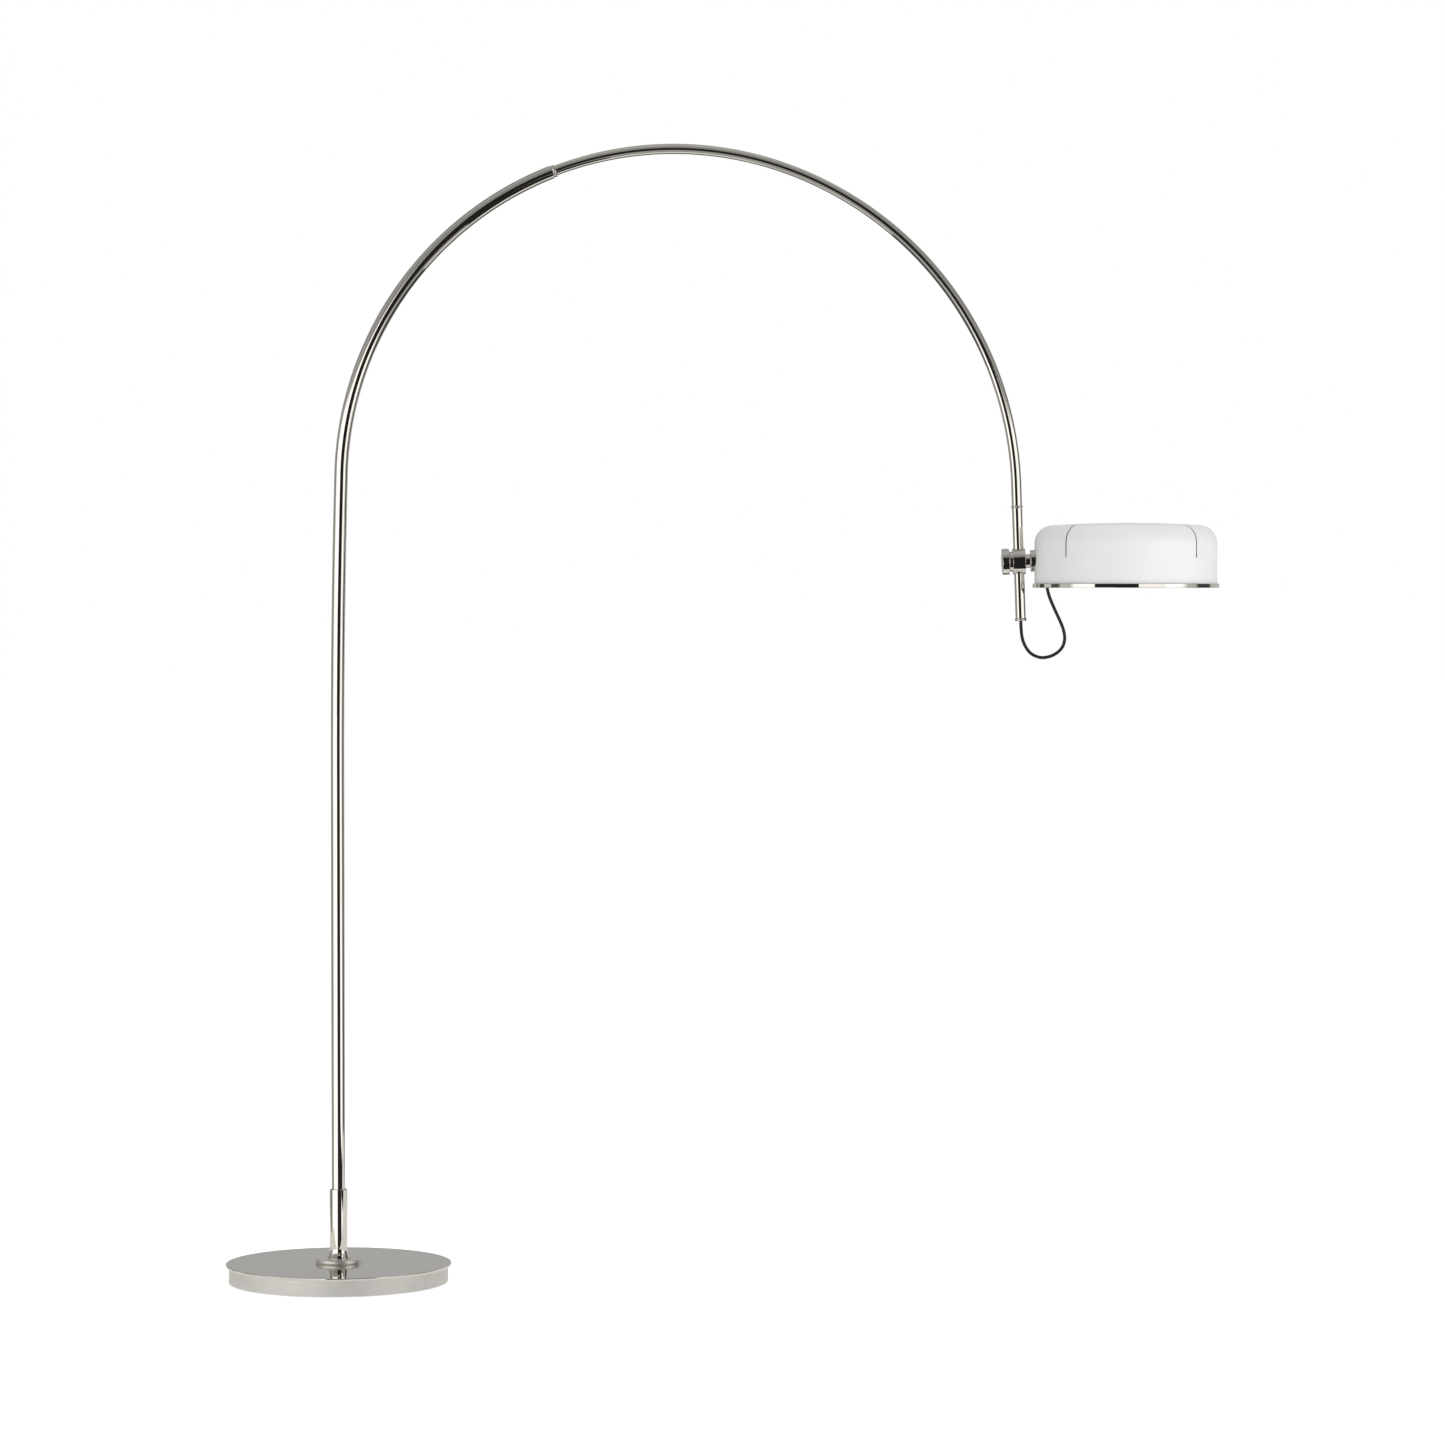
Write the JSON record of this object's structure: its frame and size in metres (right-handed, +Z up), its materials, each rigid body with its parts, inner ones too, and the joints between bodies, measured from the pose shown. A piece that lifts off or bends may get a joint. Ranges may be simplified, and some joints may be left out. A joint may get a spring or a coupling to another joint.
{
  "type": "arc floor lamp",
  "caption": "Arc floor lamp: round weighted base, turning tubular mast with a telescoping arch, and a round metal shade on a clamp that slides, swivels and tilts.",
  "frame": {"origin": "on the floor under the mast's axis, at the centre of the round base", "axes": "+Z up along the mast, +X from the mast towards the shade, +Y to the back, where the mains lead enters"},
  "size_m": [1.839, 0.418, 2.1057],
  "materials": {
    "polished_nickel": "mirror-polished nickel plate",
    "satin_nickel": "satin nickel plate, brushed round",
    "cast_iron": "black lacquer on cast iron",
    "zinc_steel": "bright zinc plate",
    "felt": "black needled felt",
    "nylon": "natural nylon",
    "black_plastic": "moulded black nylon",
    "cord_jacket": "black flexible jacket",
    "white_paint": "matt white powder coat",
    "brass": "plain brass",
    "phenolic": "moulded black phenolic",
    "opal_glass": "opal glass bulb",
    "wire_white": "white wire insulation"
  },
  "bodies": {
    "base": {"floor_pad": "felt", "base_weight": "cast_iron", "base_skirt": "satin_nickel", "base_plate": "polished_nickel", "base_screws": "zinc_steel", "foot_flange": "polished_nickel", "foot_sleeve": "polished_nickel", "foot_washer": "zinc_steel", "foot_nut": "zinc_steel", "sleeve_bushes": "nylon", "thrust_washer": "nylon", "stop_screw": "zinc_steel", "cable_gland": "black_plastic", "base_cable": "cord_jacket"},
    "mast": {"lower_tube": "polished_nickel", "foot_plug": "zinc_steel", "arm_collar": "polished_nickel", "guide_bush": "nylon", "mast_cable": "cord_jacket"},
    "arm": {"upper_tube": "polished_nickel", "slide_bush": "nylon", "upper_stop_ring": "polished_nickel", "ring_screw": "zinc_steel", "end_ring": "polished_nickel", "arm_cable": "cord_jacket"},
    "cord_swivel": {"cord_bush": "black_plastic", "head_cord": "cord_jacket"},
    "slider": {"slider_body": "polished_nickel", "clamp_bushing": "polished_nickel", "pivot_shaft": "polished_nickel", "friction_washer": "nylon", "pivot_washer": "zinc_steel", "disc_spring": "zinc_steel", "pivot_nut": "zinc_steel", "cord_clamp": "black_plastic", "cord_clamp_screw": "zinc_steel"},
    "clamp_foot": {"clamp_pad": "nylon"},
    "knob": {"clamp_knob": "polished_nickel", "clamp_stud": "zinc_steel"},
    "shade": {"shade_boss": "polished_nickel", "shade_shell": "white_paint", "shade_ring": "polished_nickel", "inner_saddle": "zinc_steel", "lamp_bracket": "white_paint", "bracket_screws": "zinc_steel", "nipple": "brass", "nipple_nut": "brass", "lampholder": "phenolic", "screw_shell": "brass", "bulb_cap": "brass", "bulb_glass": "opal_glass", "lamp_leads": "wire_white"}
  },
  "joints": [
    {"name": "mast_turn", "type": "hinge", "parent": "base", "child": "mast", "pos_m": [0, 0, 0.1], "axis": [0, 0, 1], "range_deg": [-160, 160]},
    {"name": "arm_extend", "type": "hinge", "parent": "mast", "child": "arm", "pos_m": [0.62256, 0, 1.48126], "axis": [0, 1, 0], "range_deg": [-30, 12]},
    {"name": "head_swivel", "type": "hinge", "parent": "arm", "child": "cord_swivel", "pos_m": [1.25538, 0, 1.47814], "axis": [-0.0349, 0, 0.9994], "range_deg": [-170, 170]},
    {"name": "head_slide", "type": "slide", "parent": "cord_swivel", "child": "slider", "axis": [-0.0349, 0, 0.9994], "range_m": [-0.08, 0.073], "deforming": ["head_cord"]},
    {"name": "shade_tilt", "type": "hinge", "parent": "slider", "child": "shade", "pos_m": [1.26034, 0, 1.336], "axis": [0.9994, 0, 0.0349], "range_deg": [-45, 45]},
    {"name": "clamp_travel", "type": "slide", "parent": "slider", "child": "clamp_foot", "axis": [-0.9994, 0, -0.0349], "range_m": [0, 0.00101]},
    {"name": "knob_turn", "type": "hinge", "parent": "clamp_foot", "child": "knob", "pos_m": [1.26034, 0, 1.336], "axis": [-0.9994, 0, -0.0349], "range_deg": [0, 360]}
  ],
  "couplings": [
    {"joint": "clamp_travel", "follows": "knob_turn", "m_per_rad": 0.00015915}
  ]
}
